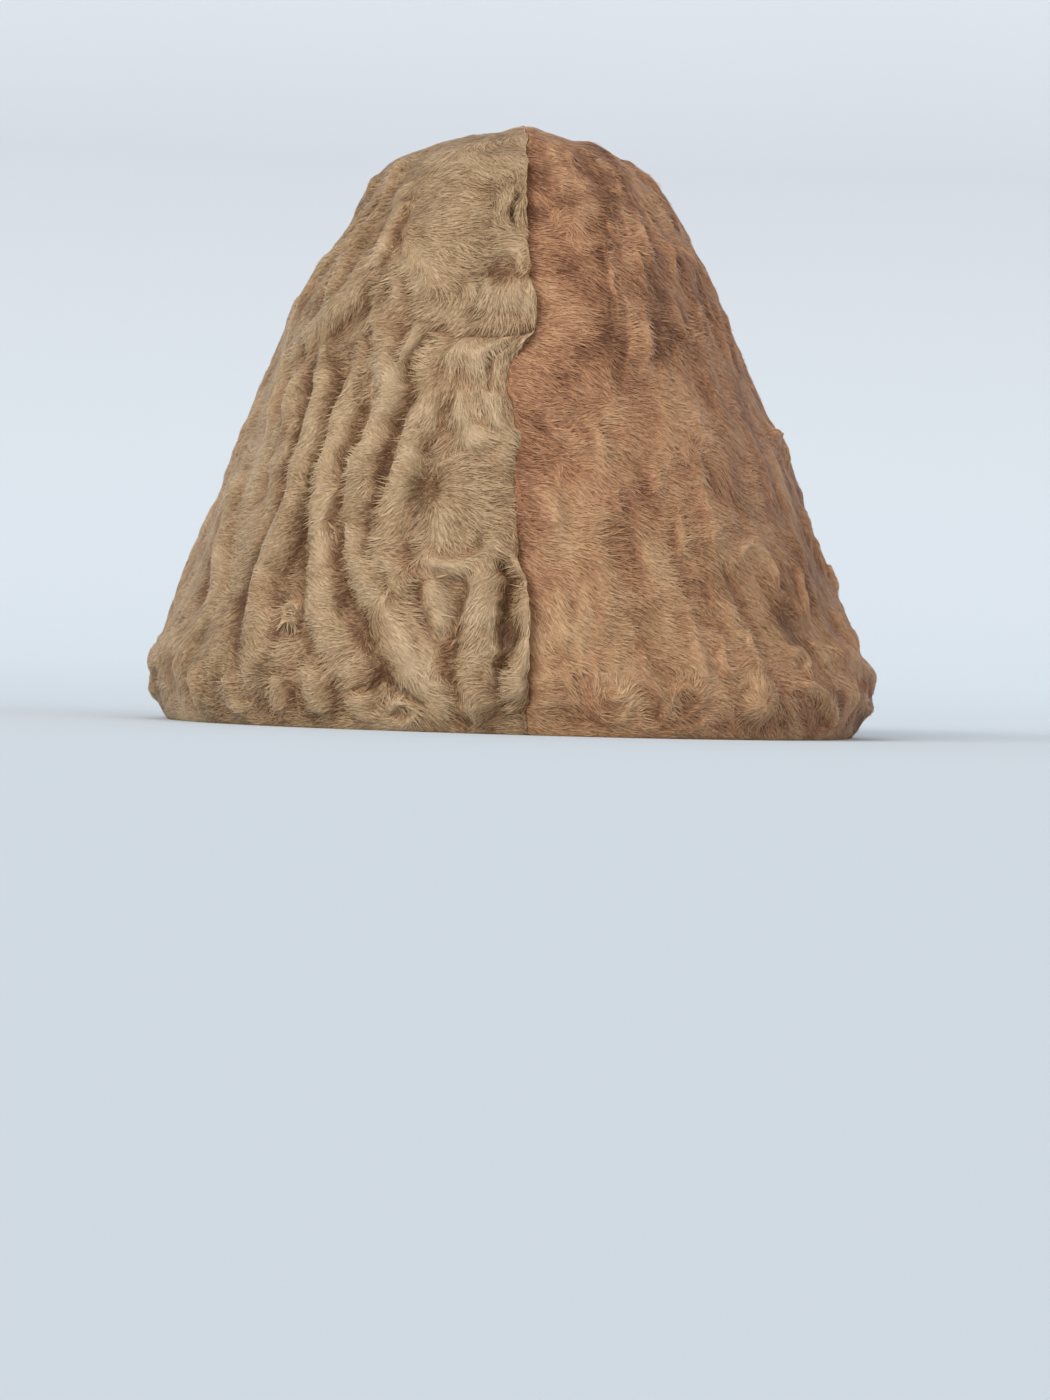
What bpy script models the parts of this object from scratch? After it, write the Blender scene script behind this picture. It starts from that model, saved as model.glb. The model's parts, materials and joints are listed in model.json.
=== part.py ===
# Peaked karakul cap resting on its rim. Metres, +Z up, the front faces -Y.
# Two lambskin pelts meet at a seam that runs from the front hem over the crown to the back hem.
# Each pelt is a curved wall whose lower edge turns in as a thick hem.
# A cloth lining covers the inside above the hem. Left and right are as seen from the front.

from collections import namedtuple

import bmesh
import bpy
import numpy as np

MM = 0.001

# Driving dimensions, in millimetres and degrees
RIM_HALF_WIDTH = 96.0
RIM_HALF_DEPTH = 106.0
RIDGE_HALF_LENGTH = 28.0
CROWN_HEIGHT = 157.0
SADDLE_DIP = 1.5
BACK_DROP = 3.0
PELT_THICKNESS = 3.2
LINING_THICKNESS = 1.0
LINING_GAP = 0.5
SEAM_HALF_GAP = 0.15
RELIEF_FADE_HEIGHT = 20.0

# The raised edge of the left pelt beside the seam, and the hollow of the right pelt next to it
SEAM_LIP_WIDTH = 9.0
SEAM_LIP_RISE = 2.0
SEAM_LIP_PITCH = 12.0
SEAM_HOLLOW_CENTRE = 9.0
SEAM_HOLLOW_WIDTH = 15.0
SEAM_HOLLOW_DEPTH = 2.2
SEAM_STEP_FOOT = 84.0
SEAM_STEP_TOP = 104.0

# Column spacing round each pelt: fine over the folds of the front, coarse at the back
FRONT_STEP = {"left": 2.5, "right": 2.9}
BACK_STEP = 6.0
FINE_UP_TO = 84.0
LINING_STEP = 10.0
ROWS_PER_SECTION = 2

Section = namedtuple("Section", "height left right depth")

# Level sections from the rim up: the half-width on each side, and half the depth from front to back
SECTIONS = [
    Section(0.0, 90.5, 90.5, 102.8),
    Section(4.0, 94.0, 94.0, 104.8),
    Section(12.0, RIM_HALF_WIDTH, RIM_HALF_WIDTH, RIM_HALF_DEPTH),
    Section(22.0, 93.2, 92.8, 104.4),
    Section(38.0, 86.6, 86.0, 101.0),
    Section(54.0, 81.2, 79.2, 97.4),
    Section(70.0, 75.0, 73.0, 93.2),
    Section(86.0, 69.0, 65.5, 88.8),
    Section(102.0, 63.8, 58.2, 83.8),
    Section(112.0, 61.0, 54.6, 80.0),
    Section(122.0, 55.6, 50.4, 75.0),
    Section(132.0, 48.6, 44.8, 68.4),
    Section(140.0, 45.0, 40.6, 61.6),
    Section(147.5, 41.0, 35.2, 53.0),
    Section(153.5, 34.0, 26.5, 43.0),
    Section(CROWN_HEIGHT, 0.0, 0.0, RIDGE_HALF_LENGTH),
]

HemRow = namedtuple("HemRow", "inset height")

# The inner side of the turned-in hem, from the flat it rests on up to its sewn edge
HEM_INSIDE = [
    HemRow(9.0, 0.0),
    HemRow(11.0, 2.5),
    HemRow(11.9, 9.0),
    HemRow(11.5, 16.0),
    HemRow(9.8, 22.0),
]

# Heights of the rows on the inside of the wall. The lining starts at the second.
WALL_ROWS = [28.0, 31.0, 60.0, 98.0, 112.0, 124.0, 134.0, 142.0, 149.0, 154.0, CROWN_HEIGHT]
LINING_FIRST_ROW = 1

Fold = namedtuple("Fold", "top_angle top_height foot_angle foot_height bow half_width rise")

# Folds of the left pelt's front. Angles run round from the front seam, and bow is in degrees at mid length.
# A negative rise is a hollow.
LEFT_FOLDS = [
    Fold(80, 100, 61, 60, -2, 3.6, 1.3),
    Fold(66, 99, 51, 64, -1, 3.4, 1.6),
    Fold(50, 96, 44, 62, 0, 3.2, 1.8),
    Fold(40, 97, 38, 50, 1, 3.2, 2.0),
    Fold(31, 101, 30, 58, 2, 3.4, 2.0),
    Fold(22, 90, 25, 56, 2, 3.4, 1.7),
    Fold(25, 54, 20, 8, 3, 4.2, 1.7),
    Fold(35, 50, 28, 14, 3, 4.0, 1.7),
    Fold(43, 46, 38, 10, 2, 4.4, 1.6),
    Fold(56, 62, 49, 8, 2, 4.6, 1.5),
    Fold(14, 88, 17, 70, 0, 3.6, 1.2),
    Fold(7, 42, 5, 16, 0, 4.6, 1.9),
    Fold(13, 42, 11, 14, 0, 3.2, 1.2),
    Fold(3, 106, 18, 97, 0, 3.6, 1.4),
    Fold(38, 138, 34, 104, 0, 3.0, 1.0),
    Fold(55, 136, 50, 106, 0, 3.2, 1.1),
    Fold(16, 63, 13, 58, 0, 4.0, -1.4),
    Fold(27, 66, 26, 58, 0, 3.4, -1.3),
    Fold(19, 14, 26, 7, 0, 2.6, -1.5),
    Fold(19, 14, 13, 6, 0, 2.6, -1.5),
    Fold(50, 22, 49, 8, 0, 2.4, -1.2),
]

# Folds of the right pelt's front, which is smoother. The last three are the curls above the rim.
RIGHT_FOLDS = [
    Fold(22, 130, 16, 92, 1, 3.6, 0.9),
    Fold(38, 138, 30, 96, 2, 3.8, 1.0),
    Fold(58, 138, 46, 98, 2, 4.0, 1.1),
    Fold(14, 84, 13, 40, 2, 4.4, 0.8),
    Fold(27, 86, 25, 34, -2, 4.6, 0.9),
    Fold(42, 84, 37, 42, 2, 4.6, 1.1),
    Fold(60, 90, 52, 48, -2, 4.8, 1.2),
    Fold(14, 30, 11, 6, 1, 4.2, 1.0),
    Fold(24, 28, 21, 5, -1, 4.2, 1.1),
    Fold(34, 34, 30, 6, 1, 4.4, 1.2),
    Fold(63, 78, 61, 70, 0, 3.8, 1.7),
    Fold(78, 58, 80, 40, 0, 4.4, 2.0),
    Fold(43, 16, 44, 9, 0, 6.0, 2.4),
]

# Folds round each side and the back, laid out by rule because the front view hides them
SIDE_FOLDS_FROM = 90.0
SIDE_FOLDS_TO = 176.0
SIDE_FOLD_STEP = 12.0
SIDE_FOLD_HALF_WIDTH = 8.5
SIDE_FOLD_RISE = 1.8
SIDE_FOLD_LEAN = 5.0
SIDE_FOLD_TOP = 112.0
SIDE_FOLD_TOP_SPREAD = 18.0
SIDE_FOLD_FOOT = 15.0
SIDE_FOLD_FOOT_SPREAD = 7.0

# How round a fold's section is: 1 is a plain half wave, and a higher power makes it narrower
FOLD_ROUNDNESS = 1.4
CENTRELINE_POINTS = 13
NUDGE = 0.05
MERGE_DISTANCE = 0.00001

PELT_FINISH = {
    "left": {"colour": (0.36, 0.255, 0.165, 1.0), "roughness": 0.78},
    "right": {"colour": (0.325, 0.20, 0.135, 1.0), "roughness": 0.8},
}
LINING_FINISH = {"colour": (0.045, 0.022, 0.016, 1.0), "roughness": 0.85}


def smooth_step(value, low, high):
    share = np.clip((value - low) / (high - low), 0.0, 1.0)
    return share * share * (3.0 - 2.0 * share)


def smooth_line(points, per_span):
    """Points of a smooth curve that passes through every given point."""
    knots = np.array(points, float)
    ahead = np.vstack([2 * knots[0] - knots[1], knots, 2 * knots[-1] - knots[-2]])
    line = []
    for span in range(len(knots) - 1):
        before, start, end, after = ahead[span : span + 4]
        for step in range(per_span):
            t = step / per_span
            bend = (2 * before - 5 * start + 4 * end - after) * t * t
            twist = (3 * start - before - 3 * end + after) * t**3
            line.append(0.5 * (2 * start + (end - before) * t + bend + twist))
    line.append(knots[-1])
    return np.array(line)


SECTION_CURVE = smooth_line(SECTIONS, 12)
WIDTH_COLUMN = {"left": 1, "right": 2}
DEPTH_COLUMN = 3


def rows_at(heights, side):
    """Height, half-width and half-depth of the section at each height."""
    known = SECTION_CURVE[:, 0]
    width = np.interp(heights, known, SECTION_CURVE[:, WIDTH_COLUMN[side]])
    depth = np.interp(heights, known, SECTION_CURVE[:, DEPTH_COLUMN])
    return np.stack([heights, width, depth], axis=-1)


def on_surface(angle, row):
    """A point of the smooth outer surface, without folds, with both halves on the +X side."""
    turn = np.radians(angle)
    height, width, depth = row[..., 0], row[..., 1], row[..., 2]
    dip = SADDLE_DIP * np.sin(turn) ** 2 + BACK_DROP * (1 - np.cos(turn)) / 2
    up = height - dip * (height / CROWN_HEIGHT) ** 3
    return np.stack([width * np.sin(turn), -depth * np.cos(turn), up], axis=-1)


def surface_grid(angles, rows):
    """Grid of points with one column for each angle and one row for each section, and its outward normals."""
    angle = np.repeat(np.asarray(angles, float)[:, None], len(rows), axis=1)
    row = np.repeat(rows[None], len(angles), axis=0)
    step = np.repeat(np.gradient(rows, axis=0)[None], len(angles), axis=0)
    points = on_surface(angle, row)
    turned = on_surface(angle + NUDGE, row) - on_surface(angle - NUDGE, row)
    climb = on_surface(angle, row + NUDGE * step) - on_surface(angle, row - NUDGE * step)
    normals = np.cross(turned, climb)
    length = np.linalg.norm(normals, axis=-1, keepdims=True)
    normals = normals / np.maximum(length, 1e-9)
    on_ridge = row[..., 1] < 1e-6
    normals[on_ridge] = (0.0, 0.0, 1.0)
    return points, normals


def side_folds():
    """Long folds from the side round to the back seam, tall and short in turn."""
    folds = []
    angle = SIDE_FOLDS_FROM
    count = 0
    while angle < SIDE_FOLDS_TO:
        lean = SIDE_FOLD_LEAN * np.sin(2.1 * count)
        top = SIDE_FOLD_TOP + SIDE_FOLD_TOP_SPREAD * np.sin(1.7 * count)
        foot = SIDE_FOLD_FOOT + SIDE_FOLD_FOOT_SPREAD * np.cos(2.6 * count)
        rise = SIDE_FOLD_RISE * (1.0 + 0.3 * np.sin(3.3 * count))
        folds.append(Fold(angle + lean, top, angle, foot, lean, SIDE_FOLD_HALF_WIDTH, rise))
        angle += SIDE_FOLD_STEP
        count += 1
    return folds


def fold_relief(points, fold, side):
    """Height of one fold over each point, from its distance to the fold's centreline."""
    share = np.linspace(0.0, 1.0, CENTRELINE_POINTS)
    angle = fold.top_angle + (fold.foot_angle - fold.top_angle) * share
    angle = angle + fold.bow * np.sin(np.pi * share)
    height = fold.top_height + (fold.foot_height - fold.top_height) * share
    centre = on_surface(angle, rows_at(height, side))
    nearest = np.full(points.shape[:-1], np.inf)
    for start, end in zip(centre[:-1], centre[1:]):
        along = end - start
        reach = np.clip((points - start) @ along / (along @ along), 0.0, 1.0)
        gap = np.linalg.norm(points - start - reach[..., None] * along, axis=-1)
        nearest = np.minimum(nearest, gap)
    share = np.clip(nearest / fold.half_width, 0.0, 1.0)
    return fold.rise * np.cos(share * np.pi / 2) ** FOLD_ROUNDNESS


def seam_relief(points, side):
    """The left pelt's scalloped edge stands up beside the seam, and the right pelt dips there."""
    across = points[..., 0]
    upper = smooth_step(points[..., 2], SEAM_STEP_FOOT, SEAM_STEP_TOP)
    front = 1.0 - smooth_step(points[..., 1], 0.0, RIDGE_HALF_LENGTH)
    if side == "left":
        lip = np.clip(1.0 - across / SEAM_LIP_WIDTH, 0.0, 1.0)
        scallop = 0.75 + 0.25 * np.cos(2 * np.pi * points[..., 2] / SEAM_LIP_PITCH)
        return SEAM_LIP_RISE * np.sqrt(lip) * scallop * upper * front
    hollow = np.exp(-(((across - SEAM_HOLLOW_CENTRE) / SEAM_HOLLOW_WIDTH) ** 2))
    return -SEAM_HOLLOW_DEPTH * hollow * upper * front


def relief(points, side):
    front_folds = LEFT_FOLDS if side == "left" else RIGHT_FOLDS
    raised = np.zeros(points.shape[:-1])
    sunk = np.zeros(points.shape[:-1])
    for fold in front_folds + side_folds():
        height = fold_relief(points, fold, side)
        raised = np.maximum(raised, height)
        sunk = np.minimum(sunk, height)
    fade = smooth_step(points[..., 2], 0.0, RELIEF_FADE_HEIGHT)
    return (raised + sunk) * fade + seam_relief(points, side)


def column_angles(side):
    fine = np.arange(0.0, FINE_UP_TO, FRONT_STEP[side])
    coarse = np.linspace(FINE_UP_TO, 180.0, int((180.0 - FINE_UP_TO) / BACK_STEP) + 1)
    return np.concatenate([fine, coarse])


def hem_rows(angles):
    """Points of the hem's inner side, set in square to the rim's oval."""
    turn = np.radians(angles)
    rim = np.stack([RIM_HALF_WIDTH * np.sin(turn), -RIM_HALF_DEPTH * np.cos(turn)], axis=-1)
    outward = np.stack([np.sin(turn) / RIM_HALF_WIDTH, -np.cos(turn) / RIM_HALF_DEPTH], axis=-1)
    outward = outward / np.linalg.norm(outward, axis=-1, keepdims=True)
    rows = []
    for row in HEM_INSIDE:
        level = rim - row.inset * outward
        rows.append(np.column_stack([level, np.full(len(angles), row.height)]))
    return np.stack(rows, axis=1)


def inner_grid(angles, depth, side):
    """Grid on the inside of the wall, a given depth below the smooth outer surface."""
    points, normals = surface_grid(angles, rows_at(np.array(WALL_ROWS), side))
    return points - depth * normals


def pelt_grid(side):
    """All rows of one pelt in order: ridge, down the outside, round the hem, up the inside to the ridge."""
    angles = column_angles(side)
    sections = smooth_line(SECTIONS, ROWS_PER_SECTION)
    outside, normals = surface_grid(angles, sections[:, [0, WIDTH_COLUMN[side], DEPTH_COLUMN]])
    outside = outside + relief(outside, side)[..., None] * normals
    outside = outside[:, ::-1]
    inside = inner_grid(angles, PELT_THICKNESS, side)
    grid = np.concatenate([outside, hem_rows(angles), inside], axis=1)
    grid[..., 0] = np.maximum(grid[..., 0], SEAM_HALF_GAP)
    grid[0, :, 0] = SEAM_HALF_GAP
    grid[-1, :, 0] = SEAM_HALF_GAP
    if side == "left":
        grid[..., 0] *= -1.0
    return grid * MM


def finish_object(name, bm, finish):
    bmesh.ops.recalc_face_normals(bm, faces=bm.faces)
    if bm.calc_volume(signed=True) < 0.0:
        bmesh.ops.reverse_faces(bm, faces=bm.faces)
    mesh = bpy.data.meshes.new(name)
    bm.to_mesh(mesh)
    bm.free()
    mesh.shade_smooth()
    material = bpy.data.materials.new(name + "_finish")
    material.use_nodes = True
    shader = material.node_tree.nodes["Principled BSDF"]
    shader.inputs["Base Color"].default_value = finish["colour"]
    shader.inputs["Roughness"].default_value = finish["roughness"]
    shader.inputs["Metallic"].default_value = 0.0
    mesh.materials.append(material)
    body = bpy.data.objects.new(name, mesh)
    bpy.context.scene.collection.objects.link(body)
    return body


def build_pelt(side):
    """One closed wall: the rows join into a loop, and the two ends at the seam are capped flat."""
    grid = pelt_grid(side)
    columns, rows = grid.shape[:2]
    bm = bmesh.new()
    verts = [[bm.verts.new(grid[i, j]) for j in range(rows)] for i in range(columns)]
    for i in range(columns - 1):
        for j in range(rows):
            after = (j + 1) % rows
            bm.faces.new((verts[i][j], verts[i + 1][j], verts[i + 1][after], verts[i][after]))
    bm.faces.new(verts[0])
    bm.faces.new(verts[-1])
    bmesh.ops.triangulate(bm, faces=bm.faces)
    return finish_object("pelt_" + side, bm, PELT_FINISH[side])


def build_lining():
    """A closed dome shell. Both halves share the points of the ridge line."""
    angles = np.arange(0.0, 180.0 + LINING_STEP / 2, LINING_STEP)
    layers = []
    for depth in (0.0, LINING_THICKNESS):
        below = PELT_THICKNESS + LINING_GAP + depth
        halves = {side: inner_grid(angles, below, side)[:, LINING_FIRST_ROW:] for side in WIDTH_COLUMN}
        middle = (halves["left"] + halves["right"]) / 2
        middle[..., 0] = 0.0
        for half in halves.values():
            half[[0, -1]] = middle[[0, -1]]
            half[:, -1] = middle[:, -1]
        other = halves["left"][-2:0:-1] * np.array([-1.0, 1.0, 1.0])
        layers.append(np.concatenate([halves["right"], other], axis=0) * MM)
    columns, rows = layers[0].shape[:2]
    bm = bmesh.new()
    shell = [[[bm.verts.new(p) for p in column] for column in layer] for layer in layers]
    for outer in (0, 1):
        for i in range(columns):
            here = shell[outer][i]
            beside = shell[outer][(i + 1) % columns]
            for j in range(rows - 1):
                bm.faces.new((here[j], beside[j], beside[j + 1], here[j + 1]))
    for i in range(columns):
        k = (i + 1) % columns
        bm.faces.new((shell[0][i][0], shell[0][k][0], shell[1][k][0], shell[1][i][0]))
    bmesh.ops.remove_doubles(bm, verts=bm.verts, dist=MERGE_DISTANCE)
    bmesh.ops.triangulate(bm, faces=bm.faces)
    return finish_object("lining", bm, LINING_FINISH)


for old in list(bpy.data.objects):
    bpy.data.objects.remove(old, do_unlink=True)

build_pelt("left")
build_pelt("right")
build_lining()
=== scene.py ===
import json
import math

import bmesh
import bpy
import numpy as np
from mathutils import Matrix, Vector

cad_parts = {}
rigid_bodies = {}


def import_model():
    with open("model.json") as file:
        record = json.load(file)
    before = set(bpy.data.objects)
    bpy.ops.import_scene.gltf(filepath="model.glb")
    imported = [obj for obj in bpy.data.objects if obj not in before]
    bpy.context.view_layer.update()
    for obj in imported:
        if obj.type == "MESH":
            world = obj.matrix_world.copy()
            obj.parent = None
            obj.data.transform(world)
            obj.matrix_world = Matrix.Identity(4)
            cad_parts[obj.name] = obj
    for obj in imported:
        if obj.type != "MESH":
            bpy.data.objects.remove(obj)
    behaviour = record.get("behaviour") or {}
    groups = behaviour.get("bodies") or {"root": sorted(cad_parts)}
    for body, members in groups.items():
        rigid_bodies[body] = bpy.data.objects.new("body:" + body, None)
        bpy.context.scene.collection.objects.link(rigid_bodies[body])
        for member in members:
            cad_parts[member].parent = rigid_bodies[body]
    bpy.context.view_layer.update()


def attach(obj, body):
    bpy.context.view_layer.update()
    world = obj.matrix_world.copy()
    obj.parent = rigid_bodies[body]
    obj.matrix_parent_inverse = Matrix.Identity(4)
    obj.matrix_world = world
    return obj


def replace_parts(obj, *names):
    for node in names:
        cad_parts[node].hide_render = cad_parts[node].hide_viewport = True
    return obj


# Looks of a peaked karakul cap: curly lambskin over the two packed pelts, and a woven lining.
# Charts below are in millimetres and degrees. Angles run round from the front seam, + to the right.

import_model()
mm = 0.001

capShape = {
    "ridgeHalfLength": 28.0, "crownHeight": 157.0, "saddleDip": 1.5, "backDrop": 3.0,
    "peltThickness": 3.2, "liningThickness": 1.0, "liningGap": 0.5, "seamHalfGap": 0.15,
    "rimHalfWidth": 96.0, "rimHalfDepth": 106.0,
}

# level sections: height, half-width on the left, half-width on the right, half-depth
capSections = [
    (0, 90.5, 90.5, 102.8), (4, 94, 94, 104.8), (12, 96, 96, 106), (22, 93.2, 92.8, 104.4),
    (38, 86.6, 86, 101), (54, 81.2, 79.2, 97.4), (70, 75, 73, 93.2), (86, 69, 65.5, 88.8),
    (102, 63.8, 58.2, 83.8), (112, 61, 54.6, 80), (122, 55.6, 50.4, 75), (132, 48.6, 44.8, 68.4),
    (140, 45, 40.6, 61.6), (147.5, 41, 35.2, 53), (153.5, 34, 26.5, 43), (157, 0, 0, 28),
]

# inner side of the turned-in hem: inset from the rim oval, height
hemInside = [(9.0, 0.0), (10.2, 0.8), (11.0, 2.5), (11.6, 5.5), (11.9, 9.0),
             (11.8, 12.5), (11.5, 16.0), (10.8, 19.5), (9.8, 22.0)]
# heights of the points on the inner side of a pelt above its hem
wallRows = [28.0, 31.0, 44.0, 60.0, 78.0, 98.0, 112.0, 124.0, 134.0, 142.0, 149.0, 154.0, 157.0]

# where the seam runs, as seen from the front: height, shift to the right
seamLine = [(0, 4.2), (8, 4.4), (32, 4.3), (43, 1.1), (62, -0.8), (72, 0.8), (84, -2.8), (92, -2.6),
            (98, 3.3), (103, 4.0), (112, 2.2), (124, 0.8), (150, 0.0), (157, 0.0)]

# sizes in millimetres, turns of a hair in degrees, and the rest are shares
fur = {
    "columnsFront": 165, "columnsBack": 85, "outsideRows": 172, "fineUpTo": 92.0,
    "hairsPerPiece": 96500,
    "hairLength": 3.9, "hairWidth": 0.24, "hairHeight": 0.34,
    "hairLift": 5.0, "hairRoll": 22.0, "hairScatter": 7.0,
    "hairHug": 0.92, "steepTrim": 0.25, "hemHair": 0.3,
    "leftRise": 1.3, "rightRise": 1.0, "rollTop": 1.3, "rollFoot": 2.5,
    "foldPitch": 12.0, "foldHalfWidth": 8.5, "foldRise": 1.8,
    "sideRollPitch": 10.5, "sideRollRise": 1.7, "ribPitch": 4.3, "ribRise": 0.58,
    "seamLip": 2.0, "seamHollow": 2.2,
    "valleyDepth": 1.1, "skinDrop": 1.3, "deepestCrease": 2.4,
}

# rolls (rise +) and furrows (rise -) of the left pelt:
# half width, rise, then angle and height of each point that the line runs through
leftStrokes = [
    (2.8, 1.5, -66, 100, -64, 88, -62, 76), (3, 2.3, -57, 92, -54, 84, -52, 74, -51, 68, -49, 60),
    (3.1, 2.6, -50, 99, -46, 88, -44, 76, -44, 67, -43, 56, -44, 46, -45, 36, -44, 28, -40, 12),
    (3.1, 2.6, -38, 96, -36, 82, -37, 72, -36, 54, -33, 40, -31, 33, -29, 25, -22, 13),
    (2.2, 1.5, -36, 107, -33, 94, -32, 85, -32, 78),
    (3.1, 2.6, -33, 105, -29, 91, -27, 83, -29, 70, -30, 66, -29, 60, -26, 50),
    (3, 2.5, -28, 55, -27, 43, -24, 36, -20, 29, -17, 20, -13, 11),
    (3, 2.3, -18, 87, -18, 80, -19, 72, -20, 66, -22, 56, -22, 44, -21, 37, -18, 30),
    (2.2, 1.5, -14, 22, -13, 16, -13, 10, -12, 3), (3, 3.4, -6, 42, -6, 33, -7, 26, -7, 18, -7, 10, -6, 2),
    (1.9, 3, -1, 46, 0, 38, 0, 30, 0, 22, -2, 14, -2, 8), (2, 2, -15, 42, -12, 40, -8, 40, -5, 44, -2, 47),
    (1.8, 1.5, -15, 38, -14, 33, -13, 28, -12, 23), (1.8, 1.5, -20, 21, -21, 15),
    (1.5, -1.3, -52, 90, -48, 80, -48, 72, -47, 64),
    (1.6, -1.3, -42, 93, -41, 83, -40, 76, -40, 62, -39, 50, -40, 42, -40, 34),
    (1.6, -1.4, -32, 89, -32, 80, -33, 70, -33, 60, -33, 50, -30, 38, -27, 29, -22, 19),
    (1.7, -1.6, -23, 92, -22, 82, -23, 74, -25, 66, -25, 56), (2.3, -0.8, -25, 67, -24, 61),
    (1.6, -0.8, -22, 39, -20, 33, -17, 26, -14, 16), (2.4, -1.6, -16, 62, -15, 58),
    (1.5, -0.8, -17, 37, -16, 31, -15, 26), (1.4, -2.8, -3, 41, -3, 34, -4, 28, -4, 22, -4, 15),
    (1.2, -2, -10, 38, -10, 30, -10, 22, -10, 8), (1.2, -1.6, 2, 41, 2, 30, 2, 18, 2, 6),
    (1.2, -1.7, -21, 18, -20, 14, -14, 6), (1.1, -1.4, -25, 7, -20, 13, -26, 18),
    (1.2, -1.7, -40, 133, -36, 122, -36, 115, -34, 106),
    (2.6, 2, -44, 138, -39, 121, -42, 115, -44, 110, -48, 106, -54, 103, -58, 99, -64, 97),
    (2.4, 1.7, -55, 132, -53, 121, -52, 115, -54, 107), (2.4, 1.2, -54, 150, -52, 140, -54, 130),
    (2.8, 0.9, -70, 148, -64, 132, -68, 118, -72, 104), (13, -2.2, -96, 148, -90, 138, -86, 126, -82, 116),
    (9, -1.4, -30, 152, -60, 152, -86, 152), (3, -1.2, -58, 98, -58, 94), (2.8, -1.4, -44, 100, -41, 98),
    (2.2, -1.3, -40, 111, -38, 104), (1.8, -1.2, -35, 99, -34, 92), (3.6, 1.9, -37, 13, -37, 3),
    (4.2, 1.9, -30, 15, -29, 3), (3.4, 1.7, -22, 9, -21, 2), (3, 1.6, -13, 9, -12, 1),
    (4.2, 1.5, -47, 12, -46, 2), (4.2, 1.2, -57, 14, -55, 4), (1.2, -1, -33, 10, -33, 2),
    (1.2, -1, -26, 12, -25, 5), (1.3, -1, -42, 12, -41, 4), (4.5, 1.3, -70, 66, -65, 50, -61, 34),
    (2, 1.8, -84, 74, -84, 70), (4, 1.5, -62, 22, -74, 18, -88, 14), (3, 1.5, -76, 8, -88, 7),
    (3, 1, -79, 82, -77, 70), (2.4, -1.2, -66, 44, -63, 30), (1.6, -1.3, -60, 74, -59, 66),
    (3.2, 1.3, -12, 85, -10, 76, -6, 69), (2.8, 1.2, -4, 85, -4, 75, -2, 64),
    (1.1, -1.4, -3, 96, -4, 90, -4, 84), (1.4, -1.7, -12, 88, -12, 82, -15, 79),
    (1, -1.7, -2, 136, -4, 130, -4, 125), (3.5, -0.9, -12, 114, -7, 116, -3, 114),
    (4.2, 1.7, -12, 109, -7, 108, -2, 108), (1.7, -1.5, -20, 100, -15, 98, -4, 98, 2, 100),
    (4.2, 1.4, -16, 93, -10, 93, -4, 92), (1.2, -2.2, -20, 99, -22, 94, -22, 89),
    (2, 1.6, -24, 102, -24, 96, -25, 88), (1.2, -1.7, -30, 113, -26, 101), (2, 1.4, -33, 112, -30, 102),
]

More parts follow.
